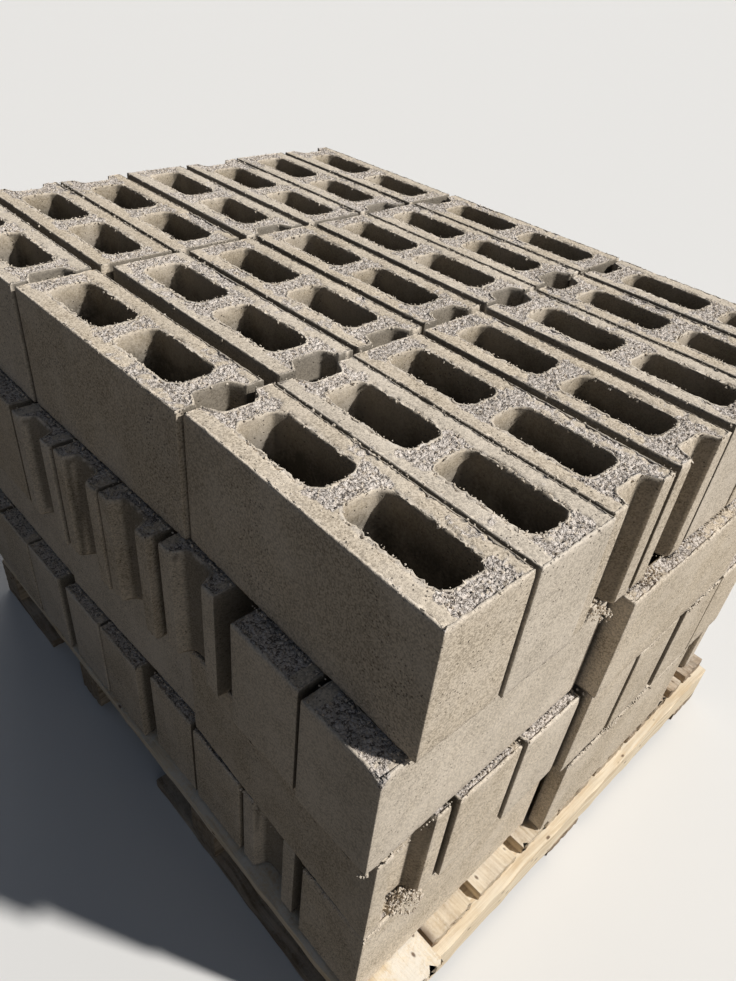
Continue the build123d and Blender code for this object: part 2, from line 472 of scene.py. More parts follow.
@dataclass(frozen=True)
class ConcreteFinish:
    """Vibrated dry-mix concrete: sandy moulded faces, open gritty webs, dusty, with painted shade in pits,
    cores, joints and gaps, and on walls turned from the key lamp.
    """

    effects: Effects
    sandy: Colour = (0.725, 0.622, 0.484)
    sandy_dark: Colour = (0.385, 0.320, 0.238)
    cool: Colour = (0.60, 0.575, 0.54)
    gritty: Colour = (0.755, 0.685, 0.62)
    gritty_dark: Colour = (0.55, 0.485, 0.425)
    crumb: Colour = (0.84, 0.785, 0.725)
    # Painted shade: the near-black colour put into pores and into the pits between grains.
    painted_pit_shade: Colour = (0.105, 0.086, 0.070)
    core_wall: Colour = (0.54, 0.455, 0.335)
    core_wall_dark: Colour = (0.36, 0.295, 0.21)
    # Near-black colour of the painted shade: deep in the cores, in joints and gaps, and on walls turned from
    # the key lamp.
    painted_shade_dark: Colour = (0.060, 0.053, 0.042)
    dust: Colour = (0.70, 0.625, 0.53)
    grain_size: float = 0.0040
    pit_share: float = 0.27
    cool_share: float = 0.28
    dust_share: float = 0.35
    rim_share: float = 0.42
    # How strongly the painted shade in joints, gaps and cores darkens a face.
    painted_shade_strength: float = 0.76
    skin_height: float = 0.42
    grit_height: float = 1.5
    relief: float = 0.0011

    def material(self) -> bpy.types.Material:
        """Builds the material.

        Returns:
            A material that reads the web, wall, rim, tone and painted shade marks of a block.
        """
        made, wiring, shader = new_material("block_concrete", 0.95, 0.2)
        place = wiring.flow("ShaderNodeTexCoord", output="Object")
        web, wall, tone, rim, joint = (wiring.painted(n) for n in ("web", "wall", "tone", "rim", "joint"))
        grit = wiring.group(
            self.effects.grit, Place=place, Grain_size=self.grain_size, Share_of_pits=self.pit_share
        )
        sand = wiring.group(self.effects.sand, Place=place)

        speck = wiring.ramp(sand["Tone"], 0.22, 0.72)
        moulded = wiring.mix(speck, self.sandy_dark, self.sandy)
        moulded = wiring.mix(wiring.ramp(tone, 0.1, 0.9, 0.0, self.cool_share), moulded, self.cool)
        lining = wiring.mix(speck, self.core_wall_dark, self.core_wall)
        # Painted shade: the core walls turn near black from a few millimetres below the top down to about 50
        # mm.
        lining = wiring.mix(wiring.ramp(wall, 1.01, 1.26), lining, self.painted_shade_dark)
        skin = wiring.mix(wiring.math("MULTIPLY", wall, 0.8, clamp=True), moulded, lining)
        cover = wiring.group(
            self.effects.dust, Place=place, Colour=skin, Dust=self.dust, Amount=self.dust_share
        )
        # Painted shade in the pores of the skin.
        skin = wiring.mix(sand["Pores"] * 0.8, cover["Colour"], self.painted_pit_shade)

        open_face = wiring.mix(wiring.ramp(grit["Tone"], 0.1, 0.75), self.gritty_dark, self.gritty)
        open_face = wiring.mix(wiring.ramp(grit["Tone"], 0.84, 0.94) * 0.7, open_face, self.crumb)
        # Painted shade in the pits between the grains.
        open_face = wiring.mix(grit["Pits"] * 0.86, open_face, self.painted_pit_shade)

        open_mask = gritty_mask(wiring, place, web)
        colour = wiring.mix(open_mask, skin, open_face)
        colour = wiring.mix(rim * self.rim_share, colour, self.crumb)
        light = tone * 0.06 + wiring.ramp(wiring.noise(place, 7.0, 4.0, 0.6), 0.3, 0.7, 0.88, 1.0)
        shade = wiring.flow("ShaderNodeCombineXYZ", {0: light, 1: light, 2: light})
        colour = wiring.mix(1.0, colour, shade, "MULTIPLY")
        # Painted shade: faces in joints and gaps, and core and groove walls turned from the key lamp, are
        # mixed toward near black.
        colour = wiring.mix(joint * self.painted_shade_strength, colour, self.painted_shade_dark)

        heights = {0: open_mask, 2: sand["Height"] * self.skin_height, 3: grit["Height"] * self.grit_height}
        height = wiring.flow("ShaderNodeMix", heights, data_type="FLOAT")
        wiring.face(shader, colour, height, self.relief)
        return made


@dataclass(frozen=True)
class WoodFinish:
    """Rough sawn softwood, from fresh and cream to weathered grey-brown."""

    effects: Effects
    fresh_light: Colour = (0.84, 0.735, 0.565)
    fresh_dark: Colour = (0.645, 0.505, 0.33)
    old_light: Colour = (0.43, 0.33, 0.235)
    old_dark: Colour = (0.175, 0.125, 0.08)
    cut_end: Colour = (0.16, 0.12, 0.085)
    knot: Colour = (0.10, 0.055, 0.03)
    dust: Colour = (0.80, 0.745, 0.65)
    relief: float = 0.0012

    def material(self) -> bpy.types.Material:
        """Builds the material.

        Returns:
            A material that reads the plank, age, dusty and cut_end marks of a board.
        """
        made, wiring, shader = new_material("pallet_softwood", 0.86, 0.25)
        plank = wiring.painted("plank", "Vector")
        age, dusty, cut = (wiring.painted(n) for n in ("age", "dusty", "cut_end"))

        bent = wiring.swayed(plank, 3.0, 2.0, 0.05)
        rings = wiring.noise(wiring.vector("MULTIPLY", bent, (0.035, 1.0, 1.0)), 130.0, 3.0, 0.55)
        fibre = wiring.noise(wiring.vector("MULTIPLY", plank, (0.03, 1.0, 1.0)), 900.0, 2.0, 0.6)
        figure = rings * 0.7 + fibre * 0.3
        knots = wiring.spots(wiring.vector("MULTIPLY", plank, (0.45, 1.0, 0.25)), 11.0, 0.86, 0.10, 0.19)
        holes = wiring.spots(wiring.vector("MULTIPLY", plank, (0.6, 1.0, 1.0)), 82.0, 0.90, 0.12, 0.30)

        share = wiring.ramp(figure, 0.36, 0.64)
        fresh = wiring.mix(share, self.fresh_dark, self.fresh_light)
        old = wiring.mix(share, self.old_dark, self.old_light)
        patchy = age + (wiring.noise(plank, 12.0, 4.0, 0.6) - 0.5) * 0.7
        colour = wiring.mix(wiring.ramp(patchy, 0.2, 0.8), fresh, old)
        colour = wiring.mix(cut * 0.35, colour, self.cut_end)
        cover = wiring.group(self.effects.dust, Place=plank, Colour=colour, Dust=self.dust, Amount=dusty)
        dark = wiring.math("MAXIMUM", knots * 0.8, holes * 0.85)
        colour = wiring.mix(dark, cover["Colour"], self.knot)

        saw = wiring.noise(wiring.vector("MULTIPLY", plank, (1.0, 0.1, 0.1)), 220.0, 1.0, 0.5)
        wiring.face(shader, colour, figure + saw * 0.35 + cover["Mask"] * 0.3, self.relief)
        return made


def add_object(name: str, data: bpy.types.ID) -> bpy.types.Object:
    """Makes an object and links it into the scene.

    Args:
        name: the object's name.
        data: its mesh, camera or lamp.

    Returns:
        The object, at the origin.
    """
    made = bpy.data.objects.new(name, data)
    bpy.context.scene.collection.objects.link(made)
    return made


def mark_points(mesh: bpy.types.Mesh, marks: dict[str, list[float]]) -> None:
    """Stores numbers on a mesh's points, each list under its own name."""
    for name, values in marks.items():
        mesh.attributes.new(name, "FLOAT", "POINT").data.foreach_set("value", values)


def mark_of(mesh: bpy.types.Mesh, name: str) -> np.ndarray:
    """Reads the numbers stored on a mesh's points under a name.

    Args:
        mesh: the mesh.
        name: the mark's name.

    Returns:
        One number a point.
    """
    values = np.empty(len(mesh.vertices), dtype=np.float32)
    mesh.attributes[name].data.foreach_get("value", values)
    return values


def places_of(mesh: bpy.types.Mesh) -> np.ndarray:
    """Reads a mesh's points.

    Args:
        mesh: the mesh.

    Returns:
        Rows of x, y and z.
    """
    flat = np.empty(len(mesh.vertices) * 3, dtype=np.float32)
    mesh.vertices.foreach_get("co", flat)
    return flat.reshape(-1, 3).astype(float)


def triangle_count(mesh: bpy.types.Mesh) -> int:
    """How many triangles a mesh has."""
    return sum(len(face.vertices) - 2 for face in mesh.polygons)


def apply_tree(
    name: str, places: list, marks: dict, tree: bpy.types.NodeTree, values: dict
) -> bpy.types.Object:
    """Runs a geometry tree on loose points and keeps the plain result.

    Args:
        name: the name of the finished piece.
        places: the points.
        marks: the numbers stored on them, by name.
        tree: the geometry tree.
        values: its inputs by name.

    Returns:
        The finished piece, with no modifier.
    """
    base = bpy.data.meshes.new(name + "_points")
    base.from_pydata(places, [], [])
    mark_points(base, marks)
    carrier = add_object(base.name, base)
    modifier = carrier.modifiers.new("tree", "NODES")
    modifier.node_group = tree
    for item in tree.interface.items_tree:
        if item.item_type == "SOCKET" and item.in_out == "INPUT" and item.name in values:
            modifier[item.identifier] = values[item.name]
    bpy.context.view_layer.update()
    graph = bpy.context.evaluated_depsgraph_get()
    mesh = bpy.data.meshes.new_from_object(carrier.evaluated_get(graph))
    mesh.name = name
    bpy.data.objects.remove(carrier)
    return add_object(name, mesh)


@dataclass(frozen=True)
class Solid:
    """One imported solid: merged corner points and triangles."""

    points: np.ndarray
    triangles: np.ndarray

    def low(self) -> np.ndarray:
        """Its lowest corner."""
        return self.points.min(axis=0)

    def high(self) -> np.ndarray:
        """Its highest corner."""
        return self.points.max(axis=0)


def solids_of(node: bpy.types.Object) -> list[Solid]:
    """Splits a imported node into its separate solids.

    Args:
        node: the node's object, which is only read.

    Returns:
        The solids, sorted by place, so that their order is always the same.
    """
    mesh = node.data
    mesh.calc_loop_triangles()
    tris = np.empty(len(mesh.loop_triangles) * 3, dtype=np.int64)
    mesh.loop_triangles.foreach_get("vertices", tris)
    keys, index = np.unique(np.round(places_of(mesh), 5), axis=0, return_inverse=True)
    tris = index.reshape(-1)[tris].reshape(-1, 3)
    label = np.arange(len(keys))
    while True:
        least = label[tris].min(axis=1)
        before = label.copy()
        for corner in range(3):
            np.minimum.at(label, tris[:, corner], least)
        label = label[label]
        if np.array_equal(before, label):
            break
    found = []
    for name in np.unique(label[tris[:, 0]]):
        used, local = np.unique(tris[label[tris[:, 0]] == name], return_inverse=True)
        found.append(Solid(keys[used], local.reshape(-1, 3)))
    return sorted(found, key=lambda s: tuple(np.round(s.low(), 3)))


@dataclass(frozen=True)
class Stand:
    """Where a block stands: the middle of its foot, and its turn about Z."""

    x: float
    y: float
    z: float
    turn: float

    def middle(self) -> np.ndarray:
        """The middle of the foot in the plan."""
        return np.array([self.x, self.y])

    def axes(self) -> np.ndarray:
        """The block's own X and Y as columns."""
        c, s = math.cos(self.turn), math.sin(self.turn)
        return np.array([[c, -s], [s, c]])

    def to_local(self, points: np.ndarray) -> np.ndarray:
        """Plan points in the block's own axes."""
        return (points - self.middle()) @ self.axes()

    def to_world(self, points: np.ndarray) -> np.ndarray:
        """Plan points of the block in the frame's axes."""
        return points @ self.axes().T + self.middle()


def rounded_loop(corners: list[Place], step: float) -> Loop:
    """A closed loop with rounded corners, sampled about evenly.

    Args:
        corners: (x, y, radius) of each corner, anticlockwise.
        step: the spacing of the samples.

    Returns:
        The samples as rows of x and y.
    """
    count = len(corners)
    arcs, ends = [], []
    for i, (x, y, radius) in enumerate(corners):
        here = np.array([x, y])
        back = np.array(corners[i - 1][:2]) - here
        on = np.array(corners[(i + 1) % count][:2]) - here
        back /= np.linalg.norm(back)
        on /= np.linalg.norm(on)
        half = math.acos(max(-1.0, min(1.0, float(back @ on)))) / 2
        reach = radius / math.tan(half)
        start, end = here + back * reach, here + on * reach
        ends.append((start, end))
        steps = max(2, round(radius * (math.pi - 2 * half) / step))
        ts = np.linspace(0, 1, steps + 1)[:, None]
        centre = here + (back + on) / np.linalg.norm(back + on) * radius / math.sin(half)
        fan = (1 - ts) * (start - centre) + ts * (end - centre)
        arcs.append(centre + fan / np.linalg.norm(fan, axis=1)[:, None] * radius)
    pieces = []
    for i, arc in enumerate(arcs):
        leave = ends[i][1]
        run = ends[(i + 1) % count][0] - leave
        steps = max(1, round(np.linalg.norm(run) / step))
        pieces += [arc, leave + np.linspace(0, 1, steps + 1)[1:-1, None] * run]
    return np.vstack(pieces)


def outward(loop: Loop) -> np.ndarray:
    """Normals of a loop.

    Args:
        loop: an anticlockwise loop.

    Returns:
        A unit normal a sample, pointing out of the loop.
    """
    run = np.roll(loop, -1, axis=0) - np.roll(loop, 1, axis=0)
    normal = np.column_stack([run[:, 1], -run[:, 0]])
    return normal / np.linalg.norm(normal, axis=1)[:, None]


def inside(points: np.ndarray, outer: Loop, holes: list[Loop]) -> np.ndarray:
    """Which points lie inside a loop and outside its holes.

    Args:
        points: rows of x and y.
        outer: the loop.
        holes: the loops that don't count as inside.

    Returns:
        True for each point that does.
    """
    keep = np.ones(len(points), dtype=bool)
    x, y = points[:, 0][:, None], points[:, 1][:, None]
    for number, loop in enumerate((outer, *holes)):
        x0, y0 = loop[:, 0][None], loop[:, 1][None]
        x1, y1 = np.roll(loop[:, 0], -1)[None], np.roll(loop[:, 1], -1)[None]
        crosses = ((y0 > y) != (y1 > y)) & (x < (x1 - x0) * (y - y0) / (y1 - y0 + 1e-12) + x0)
        keep &= (crosses.sum(axis=1) % 2 == 1) == (number == 0)
    return keep


@dataclass
class HollowBlock:
    """One hollow block at the origin: foot on Z = 0, groove toward -Y."""

    name: str
    step: float
    core_step: float
    zone: FineZone
    fine_grid: float
    coarse_grid: float
    depths: tuple[float, ...]
    length: float = 0.390
    width: float = 0.120
    height: float = 0.190
    shell: float = 0.028
    flat_end_web: float = 0.030
    middle_web: float = 0.032
    groove_web: float = 0.028
    groove_depth: float = 0.022
    groove_floor: float = 0.046
    groove_flare: float = 0.011
    groove_fillet: float = 0.007
    core_radius: float = 0.018
    core_taper: float = 0.002
    arris: float = 0.0014
    outer_wear: float = 0.0012
    rim_wear: float = 0.0026
    wear_fade: float = 0.012
    row_spacing: float = 0.87
    jitter: float = 0.28
    clearance: float = 0.6
    web_half_width: float = 0.034
    web_fade: float = 0.016
    shell_share: float = 0.20
    core_wear: float = 1.0
    end_zone: float = 0.040
    side_zone: float = 0.010
    points: list = field(default_factory=list)
    faces: list = field(default_factory=list)
    marks: dict = field(default_factory=lambda: {"web": [], "wall": [], "rim": []})

    def half(self) -> np.ndarray:
        """Half of its width and length."""
        return np.array([self.width, self.length]) / 2

    def core_length(self) -> float:
        """Length of one core at the top."""
        webs = self.flat_end_web + self.middle_web + self.groove_web + self.groove_depth
        return (self.length - webs) / 2

    def core_middles(self) -> tuple[float, float]:
        """Y of the middle of each core."""
        first = -self.length / 2 + self.groove_depth + self.groove_web + self.core_length() / 2
        return first, first + self.core_length() + self.middle_web

    def outline(self) -> Loop:
        """Draws the outer plan, with its groove.

        Returns:
            The loop.
        """
        w, l = self.half()
        floor = self.groove_floor / 2
        mouth = floor + self.groove_flare
        bed = -l + self.groove_depth
        corners = [(-w, -l), (-mouth, -l), (-floor, bed), (floor, bed), (mouth, -l), (w, -l), (w, l), (-w, l)]
        radii = [self.groove_fillet if y == bed else self.arris for _, y in corners]
        return rounded_loop([(x, y, r) for (x, y), r in zip(corners, radii)], self.step)

    def core_loops(self) -> list[Loop]:
        """Draws the plans of both cores at the top.

        Returns:
            The loops.
        """
        w, l, r = self.width / 2 - self.shell, self.core_length() / 2, self.core_radius
        return [
            rounded_loop([(-w, m - l, r), (w, m - l, r), (w, m + l, r), (-w, m + l, r)], self.core_step)
            for m in self.core_middles()
        ]

    def web_share(self, x: float, y: float) -> float:
        """How open and gritty the top is at a place.

        Args:
            x: place across the block.
            y: place along it.

        Returns:
            The share, low on the shells and 1 on the webs.
        """
        near, far = self.core_middles()
        half, end = self.core_length() / 2, self.length / 2
        bands = ((-end, near - half), (near + half, far - half), (far + half, end))
        along = min(max(low - y, y - high, 0.0) for low, high in bands)
        across = max(abs(x) - self.web_half_width, 0.0)
        return max(self.shell_share, 1.0 - math.hypot(along, across) / self.web_fade)

    def in_fine_zone(self, x: float, y: float) -> bool:
        """Whether the top is meshed closely at a place.

        Args:
            x: place across the block.
            y: place along it.

        Returns:
            True in the close mesh.
        """
        if self.zone is FineZone.WEBS:
            return self.web_share(x, y) > 0.3
        near_edge = abs(y) > self.length / 2 - self.end_zone or abs(x) > self.width / 2 - self.side_zone
        return self.zone is FineZone.EDGES and near_edge

    def _cloud(self, spacing: float, fine: bool, loops: list[Loop]) -> np.ndarray:
        """Loose points over one zone of the top.

        Args:
            spacing: their spacing.
            fine: True for the closely meshed zone, False for the rest.
            loops: the outer loop and the core loops at the top.

        Returns:
            The points, clear of every loop.
        """
        rng = np.random.default_rng(11)
        xs = np.arange(-self.width / 2, self.width / 2, spacing)
        ys = np.arange(-self.length / 2, self.length / 2, spacing * self.row_spacing)
        cloud = np.array([(x + (k % 2) * spacing / 2, y) for k, y in enumerate(ys) for x in xs])
        cloud += rng.uniform(-self.jitter, self.jitter, cloud.shape) * spacing
        keep = inside(cloud, loops[0], loops[1:])
        keep &= np.array([self.in_fine_zone(x, y) == fine for x, y in cloud])
        cloud = cloud[keep]
        if not len(cloud):
            return cloud
        near = np.min(np.linalg.norm(cloud[:, None] - np.vstack(loops)[None], axis=2), axis=1)
        return cloud[near > spacing * self.clearance]

    def _add_ring(self, loop: Loop, z: float, web: float | None, wall: float, rim: float) -> list[int]:
        """Adds one ring of points.

        Args:
            loop: its plan.
            z: its height.
            web: its web mark, or None for the share of the top at each point.
            wall: its wall mark.
            rim: its rim mark.

        Returns:
            The numbers of the points.
        """
        first = len(self.points)
        for x, y in loop:
            self.points.append((float(x), float(y), z))
            self.marks["web"].append(self.web_share(x, y) if web is None else web)
            self.marks["wall"].append(wall)
            self.marks["rim"].append(rim)
        return list(range(first, first + len(loop)))

    def _skin(self, upper: list[int], lower: list[int], inward: bool) -> None:
        """Joins two rings with quads.

        Args:
            upper: the upper ring.
            lower: the lower ring.
            inward: True where the faces point into the loop, as in a core.
        """
        for i in range(len(upper)):
            j = (i + 1) % len(upper)
            quad = (lower[i], lower[j], upper[j], upper[i])
            self.faces.append(tuple(reversed(quad)) if inward else quad)

    def _cap(self, rings: list[list[int]], z: float, up: bool) -> None:
        """Closes the top or the foot.

        Args:
            rings: the outer ring and the core rings.
            z: the height.
            up: True for the top, which takes loose points as well.
        """
        order = [i for ring in rings for i in ring]
        loops, edges, at = [], [], 0
        for ring in rings:
            loops.append(np.array([self.points[i][:2] for i in ring]))
            edges += [(at + i, at + (i + 1) % len(ring)) for i in range(len(ring))]
            at += len(ring)
        flat = list(loops)
        if up:
            zones = ((self.fine_grid, True), (self.coarse_grid, False))
            flat += [self._cloud(spacing, fine, loops).reshape(-1, 2) for spacing, fine in zones]
        coords = [Vector(p) for p in np.vstack(flat)]
        verts, _, tris, origin, _, _ = delaunay_2d_cdt(coords, edges, [], 0, 1e-7)
        number = {}
        for k, source in enumerate(origin):
            if source[0] < len(order):
                number[k] = order[source[0]]
            else:
                number[k] = self._add_ring(np.array([verts[k][:]]), z, None, 0.0, 0.0)[0]
        middles = np.array([np.mean([verts[i][:] for i in t], axis=0) for t in tris])
        for tri, kept in zip(tris, inside(middles, loops[0], loops[1:])):
            a, b, c = (verts[i] for i in tri)
            turn = (b[0] - a[0]) * (c[1] - a[1]) - (b[1] - a[1]) * (c[0] - a[0])
            if kept and abs(turn) >= 1e-12:
                ids = [number[i] for i in tri]
                self.faces.append(tuple(ids if (turn > 0) == up else ids[::-1]))

    def _tower(self, loop: Loop, outer: bool) -> tuple[list[int], list[int]]:
        """Adds one wall from top to foot, with worn rims.

        Args:
            loop: the wall's plan at the top.
            outer: True for the outside of the block, False for a core.

        Returns:
            The top ring and the foot ring.
        """
        away = outward(loop)
        push = away if outer else -away
        worn, strong = (self.outer_wear, 0.6) if outer else (self.rim_wear, self.core_wear)
        wall, taper = (0.0, 0.0) if outer else (1.0, self.core_taper)
        crest, top = worn * 0.3, self.height
        rings = [(worn, top, None, strong), (crest, top - crest, None, strong)]
        rings.append((0.0, top - worn, 0.25, strong * 0.8))
        for depth in self.depths:
            fade = max(0.0, 1 - min(depth, top - depth) / self.wear_fade)
            rings.append((0.0, top - depth, 0.0, fade * strong * 0.6))
        rings += [(0.0, worn, 0.1, strong * 0.6), (crest, crest, 0.2, strong * 0.7), (worn, 0.0, 0.2, 0.6)]
        numbers = []
        for inset, z, web, rim in rings:
            plan = loop - push * inset - away * (taper * (1 - z / top))
            numbers.append(self._add_ring(plan, z, web, wall * (1 + (top - z) / top), rim))
        for upper, lower in zip(numbers, numbers[1:]):
            self._skin(upper, lower, not outer)
        return numbers[0], numbers[-1]

    def build(self) -> bpy.types.Object:
        """Makes the block's mesh.

        Returns:
            An object that the course trees set in place.
        """
        walls = [(self.outline(), True), *((core, False) for core in self.core_loops())]
        tops, feet = zip(*(self._tower(loop, outer) for loop, outer in walls))
        self._cap(tops, self.height, True)
        self._cap(feet, 0.0, False)
        mesh = bpy.data.meshes.new(self.name)
        mesh.from_pydata(self.points, [], self.faces)
        mark_points(mesh, self.marks)
        mesh.validate()
        return add_object(self.name, mesh)

    def stand_of(self, solid: Solid) -> Stand:
        """Reads where a packed block stands.

        Args:
            solid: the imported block.

        Returns:
            The middle of its foot and its turn, groove toward -Y at no turn.
        """
        corner = solid.points[solid.triangles]
        normal = np.cross(corner[:, 1] - corner[:, 0], corner[:, 2] - corner[:, 0])
        size = np.linalg.norm(normal, axis=1)
        upright = np.abs(normal[:, 2]) < 0.05 * size
        widest = normal[np.argmax(np.where(upright, size, 0.0))]
        turn = math.atan2(widest[1], widest[0])
        axes = Stand(0.0, 0.0, 0.0, turn).axes()
        local = solid.points[:, :2] @ axes
        middle = (local.min(axis=0) + local.max(axis=0)) / 2
        rel = local - middle
        floor = self.length / 2 - self.groove_depth
        near = (np.abs(rel[:, 0]) < self.groove_floor / 2 + 0.001) & (np.abs(rel[:, 1] + floor) < 0.001)
        x, y = axes @ middle
        return Stand(x, y, float(solid.low()[2]), turn if near.any() else turn + math.pi)

    def reaches_side(self, stand: Stand, box: list, margin: float = 0.075) -> bool:
        """Whether the block comes near a side of the stack.

        Args:
            stand: where it stands.
            box: the low and the high corner of the stack.
            margin: what counts as near.

        Returns:
            True if it does.
        """
        reach = np.abs(stand.axes()) @ self.half()
        low, high = (np.array(corner[:2]) for corner in box)
        middle = stand.middle()
        return bool((middle - reach < low + margin).any() or (middle + reach > high - margin).any())


class CourseTree:
    """The geometry tree that sets blocks in place and roughens them."""

    def __init__(self) -> None:
        """Builds the tree."""
        wiring, given, leave = new_group(
            "set_blocks",
            "GeometryNodeTree",
            [
                ("Geometry", GEOMETRY, None), ("Block in view", OBJECT, None), ("Block inside", OBJECT, None),
                ("Concrete", MATERIAL, None), ("Grain size", FLOAT, 0.0040), ("Share of pits", FLOAT, 0.27),
                ("Sunk top", FLOAT, 0.0010), ("Pit depth", FLOAT, 0.0042), ("Chip depth", FLOAT, 0.007),
                ("Core rim overhang", FLOAT, 0.0048),
            ],
            [("Geometry", GEOMETRY)],
        )
        self.tree = wiring.tree
        seen = wiring.math("GREATER_THAN", wiring.stored("in_view"), 0.5)
        rotation = wiring.flow("ShaderNodeCombineXYZ", {2: wiring.stored("turn")})
        joined = wiring.node("GeometryNodeJoinGeometry")
        for name, chosen in (("Block in view", seen), ("Block inside", 1.0 - seen)):
            laid = wiring.laid(given["Geometry"], given[name], {"Rotation": rotation, "Selection": chosen})
            wiring.feed(joined, {0: laid})
        real = wiring.flow("GeometryNodeRealizeInstances", {0: Flow(wiring, joined.outputs[0])})
        place = wiring.flow("GeometryNodeInputPosition")
        normal = wiring.flow("GeometryNodeInputNormal")
        inward = wiring.scaled(normal, self._depth(wiring, given, place) * -1.0)
        lumps = wiring.ramp(wiring.noise(place, 165.0, 2.0, 0.6), 0.44, 0.66)
        hung = wiring.stored("wall") * wiring.stored("rim") * lumps * given["Core rim overhang"]
        sideways = wiring.scaled(wiring.vector("MULTIPLY", normal, (1.0, 1.0, 0.0)), hung)
        offset = wiring.vector("ADD", inward, sideways)
        moved = wiring.flow("GeometryNodeSetPosition", {"Geometry": real, "Offset": offset})
        inputs = {
            "Geometry": wiring.flow("GeometryNodeSetShadeSmooth", {"Geometry": moved}),
            "Material": given["Concrete"],
        }
        wiring.feed(leave, {"Geometry": wiring.flow("GeometryNodeSetMaterial", inputs)})

    @staticmethod
    def _depth(wiring: Wiring, given: dict[str, Flow], place: Flow) -> Flow:
        """How far each point sinks below the true face: grit, uneven skin and chips.

        Args:
            wiring: the tree that takes the nodes.
            given: the tree's inputs by name.
            place: the points.

        Returns:
            The depth.
        """
        web = wiring.stored("web")
        grain, _, _ = grain_pattern(wiring, place, given["Grain size"], given["Share of pits"])
        lumpy = wiring.noise(place, 95.0, 2.0, 0.55)
        pits = ((1.0 - grain) * 0.75 + lumpy * 0.45) * given["Pit depth"] - given["Sunk top"]
        pits = pits * gritty_mask(wiring, place, web)
        top_face = wiring.ramp(web, 0.0, 0.14)
        sunk = top_face * given["Sunk top"]
        skin = wiring.noise(place, 24.0, 3.0, 0.5) * 0.0006
        sandy = wiring.noise(place, 170.0, 2.0, 0.6) * 0.0018 * top_face
        crumb = wiring.ramp(wiring.noise(place, 150.0, 2.0, 0.65), 0.36, 0.68) * 0.0048
        chip = wiring.ramp(wiring.noise(place, 33.0, 3.0, 0.6), 0.57, 0.74) * given["Chip depth"]
        edge = (crumb + chip) * wiring.stored("rim")
        return wiring.math("MAXIMUM", (sunk + pits) + (skin + sandy) + edge, 0.0)


@dataclass(frozen=True)
class Chip:
    """A corner broken off along a rough plane."""

    place: Place
    depth: float
    reach: float
    inward: Place

    def bite(self, mesh: bpy.types.Mesh) -> None:
        """Cuts the corner back to the rough plane and marks the broken face as gritty.

        Args:
            mesh: the mesh of the blocks.
        """
        points = places_of(mesh)
        rel = points - np.array(self.place)
        inward = np.array(self.inward) / np.linalg.norm(self.inward)
        behind = rel @ inward
        waves = ([610.0, 270.0, 430.0], [-350.0, 820.0, 240.0])
        rough = sum(np.sin(points @ np.array(wave)) for wave in waves)
        plane = self.depth * (1.0 + 0.13 * rough)
        hit = (behind < plane) & (np.linalg.norm(rel, axis=1) < self.reach)
        points[hit] += inward * (plane - behind)[hit, None]
        mesh.vertices.foreach_set("co", points.reshape(-1))
        web = mark_of(mesh, "web")
        web[hit] = 1.0
        mesh.attributes["web"].data.foreach_set("value", web)
        mesh.update()


@dataclass
class BlockCourse:
    """The blocks of one node."""

    node: str
    block: HollowBlock
    in_view: bpy.types.Object
    inside: bpy.types.Object
    tree: CourseTree
    concrete: bpy.types.Material
    box: list
    seed: int
    neighbours: list[Stand]
    chips: tuple[Chip, ...] = ()
    # Reaches and strengths of the painted shade in joints, in gaps and on walls turned from the key lamp.
    joint_reach: float = 0.012
    gap_reach: float = 0.085
    gap_shade_share: float = 0.85
    turned_from_key_shade: float = 0.78
    turned_from_key_normal: float = -0.45

    def _mark_painted_shade(self, mesh: bpy.types.Mesh, stands: list[Stand]) -> None:
        """Marks painted shade: faces in joints and gaps, and the core and groove walls that face away from
        the key lamp, are given a dark colour.

        Args:
            mesh: the mesh of this node's blocks.
            stands: where they stand.
        """
        places = places_of(mesh)
        normals = np.empty(places.size, dtype=np.float32)
        mesh.vertex_normals.foreach_get("vector", normals)
        normals = normals.reshape(-1, 3)[:, :2].astype(float)
        wall = mark_of(mesh, "wall")
        half = self.block.half()
        joint = np.zeros(len(places))
        # Painted shade on faces that look into a joint or gap beside a neighbour of the course.
        for stand in self.neighbours:
            local = stand.to_local(places[:, :2])
            past = np.abs(local) - half
            facing = stand.to_local(normals + stand.middle()) * np.sign(local) < -0.5
            for side in (0, 1):
                beside = facing[:, side] & (past[:, side] > 0.0002) & (past[:, 1 - side] < -0.002)
                joint[beside & (past[:, side] < self.gap_reach)] += self.gap_shade_share
                joint[beside & (past[:, side] < self.joint_reach)] = 1.0
        joint = np.minimum(joint, 1.0) * (wall < 0.5)
        # Painted shade: core walls and groove walls that face away from the key lamp, toward -X.
        turned_from_key = wall > 0.5
        for stand in stands:
            local = stand.to_local(places[:, :2])
            deep = local[:, 1] + half[1]
            across = np.abs(local[:, 0]) < self.block.groove_floor / 2 + self.block.groove_flare
            turned_from_key |= across & (deep > 0.001) & (deep < self.block.groove_depth + 0.001)
        turned_from_key &= normals[:, 0] < self.turned_from_key_normal
        joint[turned_from_key] = np.maximum(joint[turned_from_key], self.turned_from_key_shade)
        joint *= mark_of(mesh, "web") < 0.05
        mark_points(mesh, {"joint": joint.astype(np.float32)})

    def build(self, stands: list[Stand]) -> bpy.types.Object:
        """Sets this node's blocks in place.

        Args:
            stands: where the node's blocks stand.

        Returns:
            The dressed piece.
        """
        rng = np.random.default_rng(self.seed)
        marks = {
            "turn": [s.turn for s in stands],
            "tone": [float(t) for t in rng.uniform(-0.4, 0.8, len(stands))],
            "in_view": [float(self.block.reaches_side(s, self.box)) for s in stands],
        }
        values = {"Block in view": self.in_view, "Block inside": self.inside, "Concrete": self.concrete}
        places = [(s.x, s.y, s.z) for s in stands]
        piece = apply_tree("blocks_" + self.node, places, marks, self.tree.tree, values)
        self._mark_painted_shade(piece.data, stands)
        for chip in self.chips:
            chip.bite(piece.data)
        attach(piece, "root")
        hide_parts(self.node)
        log.info("%s: %d blocks, %d triangles", piece.name, len(stands), triangle_count(piece.data))
        return piece


